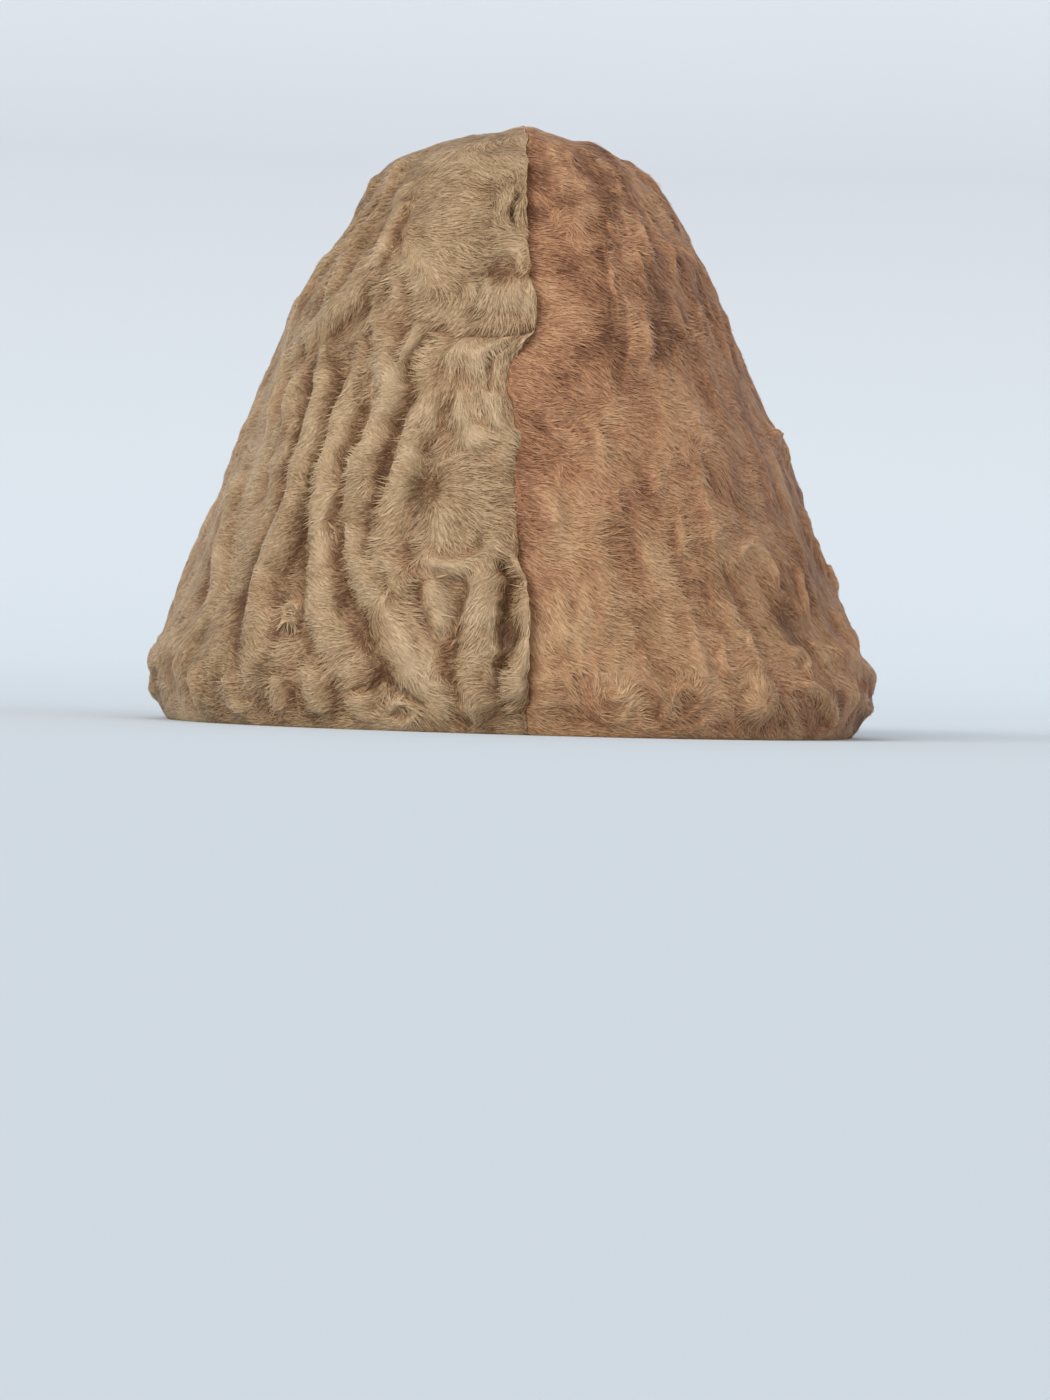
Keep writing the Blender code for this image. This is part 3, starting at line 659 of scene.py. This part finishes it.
# scatters hair over a skin along its comb, as Geometry Nodes
def hairTree():
    tree = bpy.data.node_groups.new("combedHair", "GeometryNodeTree")
    names = ("Density", "Length", "Width", "Lift", "Roll", "Scatter", "Hug", "Height")
    sockets = dict.fromkeys(names, "Float")
    sockets.update(Seed="Int", Where="String", Blades="Collection", Material="Material")
    tree.interface.new_socket("Geometry", in_out="INPUT", socket_type="NodeSocketGeometry")
    for key, kind in sockets.items():
        tree.interface.new_socket(key, in_out="INPUT", socket_type=f"NodeSocket{kind}")
    tree.interface.new_socket("Geometry", in_out="OUTPUT", socket_type="NodeSocketGeometry")

    def add(kind, feeds=None, **settings):
        return outOf(tree, kind, feeds, **settings)

    def named(attribute, kind="FLOAT"):
        return add("GeometryNodeInputNamedAttribute", {"Name": attribute}, data_type=kind)

    def times(first, second):
        return maths(tree, "MULTIPLY", first, second)

    def chance(low, high, seed):
        return add("FunctionNodeRandomValue", {"Min": low, "Max": high, "Seed": seed})

    given = newNode(tree, "NodeGroupInput").outputs
    skin = given["Geometry"]
    spread = newNode(tree, "GeometryNodeDistributePointsOnFaces", {
        "Mesh": skin,
        "Density": times(given["Density"], named(given["Where"])),
        "Seed": given["Seed"],
    }, distribute_method="RANDOM").outputs

    # every hair lies along the comb, give or take a little
    turned = add("ShaderNodeVectorRotate", {
        "Vector": named("comb", "FLOAT_VECTOR"),
        "Axis": spread["Normal"],
        "Angle": chance(times(given["Scatter"], -1.0), given["Scatter"], 3),
    }, rotation_type="AXIS_ANGLE")
    feeds = {"Primary Axis": spread["Normal"], "Secondary Axis": turned}
    facing = add("FunctionNodeAxesToRotation", feeds, primary_axis="Z", secondary_axis="Y")
    tilt = add("ShaderNodeCombineXYZ", {
        "X": chance(times(given["Lift"], 0.15), times(given["Lift"], 1.5), 4),
        "Y": chance(times(given["Roll"], -1.0), given["Roll"], 5),
    })
    feeds = {"Rotation": facing, "Rotate By": add("FunctionNodeEulerToRotation", {"Euler": tilt})}
    posed = add("FunctionNodeRotateRotation", feeds, rotation_space="LOCAL")

    hairLength = times(times(given["Length"], chance(0.65, 1.3, 6)), named("hairShare"))
    hairWidth = times(given["Width"], chance(0.7, 1.35, 7))
    feeds = {"Collection": given["Blades"], "Separate Children": True, "Reset Children": True}
    blades = add("GeometryNodeCollectionInfo", feeds)
    placed = add("GeometryNodeInstanceOnPoints", {
        "Points": spread["Points"],
        "Instance": blades,
        "Pick Instance": True,
        "Rotation": posed,
        "Scale": add("ShaderNodeCombineXYZ", {"X": hairWidth, "Y": hairLength, "Z": hairLength}),
    })
    feeds = {"Geometry": placed, "Name": "strand", "Value": chance(0.0, 1.0, 8)}
    strands = add("GeometryNodeStoreNamedAttribute", feeds, domain="INSTANCE")
    real = add("GeometryNodeRealizeInstances", {"Geometry": strands})

    # each hair is laid back onto the skin that it crosses, one above the other
    nearest = add("GeometryNodeProximity", {0: skin}, target_element="FACES")
    feeds = {"Mesh": skin, "Value": add("GeometryNodeInputNormal")}
    outward = add("GeometryNodeSampleNearestSurface", feeds, data_type="FLOAT_VECTOR")
    layer = maths(tree, "ADD", times(named("strand"), 0.55), 0.1)
    layer = maths(tree, "ADD", layer, times(named("along"), 0.35))
    height = times(layer, given["Height"])
    above = add("ShaderNodeVectorMath", {0: outward, "Scale": height}, operation="SCALE")
    laid = add("ShaderNodeVectorMath", {0: nearest, 1: above}, operation="ADD")
    # a few loose hairs stand off more
    loose = maths(tree, "GREATER_THAN", named("strand"), 0.96)
    hug = times(given["Hug"], maths(tree, "SUBTRACT", 1.0, times(loose, 0.4)))
    feeds = {"Factor": hug, "A": add("GeometryNodeInputPosition"), "B": laid}
    blend = add("ShaderNodeMix", feeds, data_type="VECTOR")
    settled = add("GeometryNodeSetPosition", {"Geometry": real, "Position": blend})
    finished = add("GeometryNodeSetMaterial", {"Geometry": settled, "Material": given["Material"]})
    newNode(tree, "NodeGroupOutput", {"Geometry": finished})
    return tree


# area in square metres that a field covers on a mesh
def coveredArea(mesh, key):
    values = readAll(mesh.attributes[key].data, "value")
    areas = readAll(mesh.polygons, "area")
    first = readAll(mesh.polygons, "loop_start", np.int32)
    corner = readAll(mesh.loops, "vertex_index", np.int32)
    return float((areas * values[corner[first]]).sum())


# takes off the fields that only the hair needed to grow
def dropHelpers(mesh):
    for key in ("comb", "hairShare", "hairFront", "hairBack"):
        if key in mesh.attributes:
            mesh.attributes.remove(mesh.attributes[key])


def growHair(name, skin, tree, blades, where, material, seed):
    mesh = skin.data.copy()
    body = addObject(name, mesh)
    grow = body.modifiers.new("combedHair", "NODES")
    grow.node_group = tree
    given = {"Density": fur["hairsPerPiece"] / coveredArea(mesh, where), "Hug": fur["hairHug"],
             "Seed": seed, "Where": where, "Blades": blades, "Material": material}
    given.update({key: fur[f"hair{key}"] * mm for key in ("Length", "Width", "Height")})
    given.update({key: math.radians(fur[f"hair{key}"]) for key in ("Lift", "Roll", "Scatter")})
    for item in tree.interface.items_tree:
        if item.in_out == "INPUT" and item.name in given:
            grow[item.identifier] = given[item.name]
    body.update_tag()
    bpy.context.view_layer.update()
    graph = bpy.context.evaluated_depsgraph_get()
    evaluated = body.evaluated_get(graph)
    grown = bpy.data.meshes.new_from_object(evaluated, preserve_all_data_layers=True, depsgraph=graph)
    body.modifiers.remove(grow)
    body.data = grown
    bpy.data.meshes.remove(mesh)
    places = readAll(grown.vertices, "co", size=3)
    # no hair goes under the surface that the rim rests on
    places[2::3] = np.maximum(places[2::3], 0.2 * mm)
    grown.vertices.foreach_set("co", places)
    dropHelpers(grown)
    grown.shade_smooth()
    grown.name = name
    grown.update()
    print(name, len(grown.polygons), "triangles of hair")
    return body


# dark, middle and light hair of each pelt, and a redder, darker set that carries the painted shade of its
# hollows, under the hem and inside, as well as redder hair
furFinish = {
    "left": {
        "cool": [(0.152, 0.081, 0.034), (0.446, 0.293, 0.156), (0.618, 0.446, 0.272)],
        "warm": [(0.140, 0.058, 0.026), (0.412, 0.226, 0.112), (0.590, 0.384, 0.218)],
    },
    "right": {
        "cool": [(0.165, 0.077, 0.033), (0.430, 0.248, 0.117), (0.615, 0.400, 0.222)],
        "warm": [(0.145, 0.052, 0.024), (0.432, 0.205, 0.101), (0.605, 0.350, 0.186)],
    },
    "hairRoughness": 0.52, "skinRoughness": 0.8, "hairShine": 0.42, "skinShine": 0.2,
    "specularTint": (1.0, 0.84, 0.7, 1.0),
    "sheen": 0.12, "sheenRoughness": 0.4, "sheenTint": (1.0, 0.78, 0.6, 1.0),
    "reliefDepth": 0.0004,
}


def plainMaterial(name):
    material = bpy.data.materials.new(name)
    material.use_nodes = True
    tree = material.node_tree
    return material, tree, tree.nodes["Principled BSDF"]


def attributeOf(tree, name):
    return newNode(tree, "ShaderNodeAttribute", attribute_name=name).outputs["Fac"]


# start + (field - middle) * share
def nudged(tree, start, field, middle, share):
    return maths(tree, "MULTIPLY_ADD", maths(tree, "SUBTRACT", field, middle), share, start)


def rampOf(tree, factor, colours, stops=(0.0, 0.5, 1.0)):
    ramp = newNode(tree, "ShaderNodeValToRGB", {"Fac": factor})
    elements = ramp.color_ramp.elements
    while len(elements) < len(colours):
        elements.new(0.5)
    for element, place, colour in zip(elements, stops, colours):
        element.position = place
        element.color = (*colour, 1.0)
    return ramp.outputs["Color"]


def noiseOf(tree, scale, detail=2.0, stretch=(1, 1, 1)):
    where = newNode(tree, "ShaderNodeTexCoord").outputs["Object"]
    mapped = outOf(tree, "ShaderNodeMapping", {"Vector": where, "Scale": stretch})
    return outOf(tree, "ShaderNodeTexNoise", {"Vector": mapped, "Scale": scale, "Detail": detail})


def bumpOf(tree, height, strength, distance):
    return outOf(tree, "ShaderNodeBump", {"Strength": strength, "Distance": distance, "Height": height})


# tone, which carries painted shade and painted light as well as the hair's own tone, picks dark, middle or
# light hair, and redness slides it towards the warm set
def furMaterial(name, side, isHair):
    material, tree, shader = plainMaterial(name)
    kind = "hair" if isHair else "skin"
    toneAndShade = maths(tree, "MULTIPLY_ADD", attributeOf(tree, "toneAndShade"), 0.42, 0.5)
    toneAndShade = nudged(tree, toneAndShade, noiseOf(tree, 900.0, 1.0), 0.5, 0.5)
    if isHair:
        toneAndShade = nudged(tree, toneAndShade, attributeOf(tree, "strand"), 0.5, 0.52)
        toneAndShade = nudged(tree, toneAndShade, attributeOf(tree, "along"), 0.6, 0.3)
        grain = noiseOf(tree, 1400.0, 3.0)
    else:
        grain = noiseOf(tree, 1300.0, 3.0, (1.0, 1.0, 3.0))
        toneAndShade = nudged(tree, toneAndShade, grain, 0.52, 1.6)
    redness = maths(tree, "MULTIPLY_ADD", noiseOf(tree, 60.0), 0.2, attributeOf(tree, "warm"), clamp=True)
    cool, warm = (rampOf(tree, toneAndShade, furFinish[side][colours]) for colours in ("cool", "warm"))
    feeds = {"Factor": redness, "A": cool, "B": warm}
    feed(tree, shader, {
        "Metallic": 0.0,
        "Base Color": outOf(tree, "ShaderNodeMix", feeds, data_type="RGBA"),
        "Roughness": nudged(tree, furFinish[f"{kind}Roughness"], noiseOf(tree, 400.0), 0.5, 0.16),
        "Specular IOR Level": furFinish[f"{kind}Shine"],
        "Specular Tint": furFinish["specularTint"],
        "Sheen Weight": furFinish["sheen"],
        "Sheen Roughness": furFinish["sheenRoughness"],
        "Sheen Tint": furFinish["sheenTint"],
        "Normal": bumpOf(tree, grain, 0.35, furFinish["reliefDepth"]),
    })
    return material


clothFinish = {"warp": (0.052, 0.028, 0.021), "weft": (0.030, 0.015, 0.011), "weaveScale": 110.0,
               "roughness": 0.795, "shine": 0.3, "reliefDepth": 0.0003}


# plain weave drawn by two crossed waves over the lining's own layout
def clothMaterial(name):
    material, tree, shader = plainMaterial(name)
    where = newNode(tree, "ShaderNodeUVMap", uv_map="liningLayout").outputs["UV"]
    feeds = {"Vector": where, "Scale": clothFinish["weaveScale"], "Distortion": 0.4}
    waves = [newNode(tree, "ShaderNodeTexWave", feeds, wave_type="BANDS", bands_direction=axis)
             for axis in ("X", "Y")]
    woven = maths(tree, "MULTIPLY", *(wave.outputs["Fac"] for wave in waves))
    feed(tree, shader, {
        "Metallic": 0.0,
        "Base Color": rampOf(tree, woven, (clothFinish["weft"], clothFinish["warp"]), (0.0, 1.0)),
        "Roughness": nudged(tree, clothFinish["roughness"], noiseOf(tree, 90.0), 0.5, 0.15),
        "Specular IOR Level": clothFinish["shine"],
        "Normal": bumpOf(tree, woven, 0.5, clothFinish["reliefDepth"]),
    })
    return material


lining = {
    "stepDegrees": 4.0, "rowCount": 46, "lowestRow": 28.5,
    "pucker": 0.25, "depthBehindPelt": 0.2,
    "layoutRadius": 0.085, "edgeLayout": (0.027, 0.028),
}


# the cloth dome inside, closed along its lower edge
def buildLining(material):
    angles = np.arange(-180.0, 180.0, lining["stepDegrees"])
    heights = np.linspace(lining["lowestRow"], capShape["crownHeight"], lining["rowCount"])
    points, normals, angle, height = smoothWall(angles, heights)
    pucker = lining["pucker"] * wavyNoise(points, 26.0, 61, 0.4) * smoothStep(height, 30.0, 50.0)
    depth = capShape["peltThickness"] + capShape["liningGap"] + lining["depthBehindPelt"]
    depth = depth + np.maximum(pucker, -lining["depthBehindPelt"])
    bm = bmesh.new()
    shell = []
    for inset in (depth, depth + capShape["liningThickness"]):
        layer = (points - normals * inset[..., None]) * mm
        shell.append([[bm.verts.new(place) for place in column] for column in layer])
    layout = bm.loops.layers.uv.new("liningLayout")
    step = math.radians(lining["stepDegrees"]) * lining["layoutRadius"]

    def addFace(verts, u, low, high):
        places = ((u, low), (u + step, low), (u + step, high), (u, high))
        for loop, place in zip(bm.faces.new(verts).loops, places):
            loop[layout].uv = place

    columns = list(enumerate(np.radians(angles) * lining["layoutRadius"]))
    for layer in shell:
        for i, u in columns:
            here, beside = layer[i], layer[(i + 1) % len(columns)]
            for j in range(len(heights) - 1):
                corners = (here[j], beside[j], beside[j + 1], here[j + 1])
                addFace(corners, u, heights[j] * mm, heights[j + 1] * mm)
    outer, inner = shell
    for i, u in columns:
        k = (i + 1) % len(columns)
        addFace((outer[i][0], outer[k][0], inner[k][0], inner[i][0]), u, *lining["edgeLayout"])
    # the top rows meet along the ridge
    bmesh.ops.remove_doubles(bm, verts=bm.verts, dist=0.02 * mm)
    mesh = bpy.data.meshes.new("lining_cloth")
    writeClosed(bm, mesh)
    mesh.materials.append(material)
    return addObject("lining_cloth", mesh)


print("surface charts ready")
bladeBends = [(0.0, 0.05), (1.8, 0.08), (-1.8, 0.06), (3.2, 0.04), (-3.0, 0.07)]
bladeShelf = bpy.data.collections.new("hairBlades")
bpy.context.scene.collection.children.link(bladeShelf)
for number, (lean, rise) in enumerate(bladeBends):
    bladeShelf.objects.link(buildBlade(f"hairBlade{number}", lean, rise))
growing = hairTree()

for side, sign in (("left", -1), ("right", 1)):
    under = furMaterial(f"{side}Undercoat", side, False)
    over = furMaterial(f"{side}Hair", side, True)
    grid, comb, fields = buildSkin(sign)
    skin = skinObject(f"pelt_{side}_skin", grid, comb, fields, sign)
    skin.data.materials.append(under)
    print(skin.name, len(skin.data.polygons), "faces")
    for part, where in (("front", "hairFront"), ("back", "hairBack")):
        # seeds 7 to 10
        seed = 7 + 2 * (sign > 0) + (part == "back")
        hair = growHair(f"pelt_{side}_hair_{part}", skin, growing, bladeShelf, where, over, seed)
        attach(hair, "root")
    dropHelpers(skin.data)
    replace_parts(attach(skin, "root"), f"pelt_{side}")
for blade in list(bladeShelf.objects):
    bpy.data.objects.remove(blade)
bpy.data.collections.remove(bladeShelf)

cloth = buildLining(clothMaterial("liningCloth"))
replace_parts(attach(cloth, "root"), "lining")
print("lining ready")

# metres and degrees; each sun is where it comes from, its softness, strength and colour
studio = {
    "floorColour": (0.615, 0.664, 0.70),
    "wallColour": (0.54, 0.562, 0.595),
    # the upper wall is the paper's colour with painted light, lighter than the wall below
    "upperWallColourWithPaintedLight": (0.735, 0.755, 0.80),
    "halfWidth": 6.0, "floorFront": -3.0, "wallFoot": 2.0, "wallCurve": 1.5, "wallTop": 6.0,
    "suns": {
        "keyLight": ((-0.8, -1.0, 0.9), 36.0, 1.85, (1.0, 0.985, 0.955)),
        "fillLight": ((1.0, -0.9, 0.7), 60.0, 0.66, (1.0, 0.985, 0.97)),
        "topLight": ((0.1, -0.3, 1.0), 50.0, 0.34, (1.0, 0.99, 0.97)),
    },
    "airColour": (0.86, 0.92, 1.0, 1.0),
    "airStrength": 0.5,
    "distance": 1.0, "elevation": 0.9, "roll": 1.7,
    "focalPixels": 3745.0, "imageHeight": 1400.0, "rimOffset": (-16.0, 28.0),
}


# floor and back wall in one sheet that curves up far behind
def buildCove():
    foot, curve, wide = studio["wallFoot"], studio["wallCurve"], studio["halfWidth"]
    profile = [(studio["floorFront"], 0.0), (foot, 0.0)]
    for step in range(1, 13):
        turn = step / 12 * math.pi / 2
        profile.append((foot + curve * math.sin(turn), curve - curve * math.cos(turn)))
    profile.append((foot + curve, studio["wallTop"]))
    verts = [(x, y, z) for y, z in profile for x in (-wide, wide)]
    faces = [(i, i + 1, i + 3, i + 2) for i in range(0, len(verts) - 2, 2)]
    mesh = bpy.data.meshes.new("studioCove")
    mesh.from_pydata(verts, [], faces)
    mesh.shade_smooth()
    material, tree, shader = plainMaterial("studioPaper")
    # the floor colour turns into the wall colour over the first metre of height, and the wall is painted
    # lighter higher up: painted light on one backdrop paper
    place = newNode(tree, "ShaderNodeTexCoord").outputs["Object"]
    height = newNode(tree, "ShaderNodeSeparateXYZ", {"Vector": place}).outputs["Z"]
    height = maths(tree, "MULTIPLY_ADD", noiseOf(tree, 3.0), 0.04, height)
    height = maths(tree, "MULTIPLY", height, 0.5)
    paper = (studio["floorColour"], studio["wallColour"], studio["upperWallColourWithPaintedLight"])
    colour = rampOf(tree, height, paper, (0.0, 0.3, 0.6))
    feed(tree, shader, {"Metallic": 0.0, "Base Color": colour, "Roughness": 0.9, "Specular IOR Level": 0.1})
    mesh.materials.append(material)
    addObject("studioCove", mesh)


# a soft, even light that comes from the given side
def addSun(name, source, softness, strength, colour):
    light = bpy.data.lights.new(name, "SUN")
    light.angle = math.radians(softness)
    light.energy = strength
    light.color = colour
    addObject(name, light).rotation_euler = Vector(source).to_track_quat("Z", "Y").to_euler()


def addAir():
    world = bpy.data.worlds.new("studioAir")
    world.use_nodes = True
    air = world.node_tree.nodes["Background"]
    feed(world.node_tree, air, {"Color": studio["airColour"], "Strength": studio["airStrength"]})
    bpy.context.scene.world = world


def addCamera():
    sensor = 36.0
    eye = bpy.data.cameras.new("studioCamera")
    eye.sensor_width = sensor
    eye.lens = studio["focalPixels"] / studio["imageHeight"] * sensor
    eye.clip_start = 0.01
    eye.clip_end = 20.0
    camera = addObject("studioCamera", eye)
    lift, roll = math.radians(studio["elevation"]), math.radians(studio["roll"])
    facing = Vector((0.0, math.cos(lift), -math.sin(lift)))
    stand = -studio["distance"] * facing
    above = Vector((0.0, math.sin(lift), math.cos(lift)))
    right = Vector((1.0, 0.0, 0.0))
    up = above * math.cos(roll) - right * math.sin(roll)
    across = right * math.cos(roll) + above * math.sin(roll)
    # turned a little so that the middle of the rim sits where the offset says, in pixels from the centre
    offX, offY = (offset / studio["focalPixels"] for offset in studio["rimOffset"])
    facing = (facing - across * offX + up * offY).normalized()
    across = (across - facing * across.dot(facing)).normalized()
    up = across.cross(facing)
    axes = Matrix((across, up, -facing)).transposed()
    camera.matrix_world = Matrix.Translation(stand) @ axes.to_4x4()
    bpy.context.scene.camera = camera


buildCove()
for name, sun in studio["suns"].items():
    addSun(name, *sun)
addAir()
bpy.context.scene.view_settings.view_transform = "Standard"
addCamera()
print("studio ready")
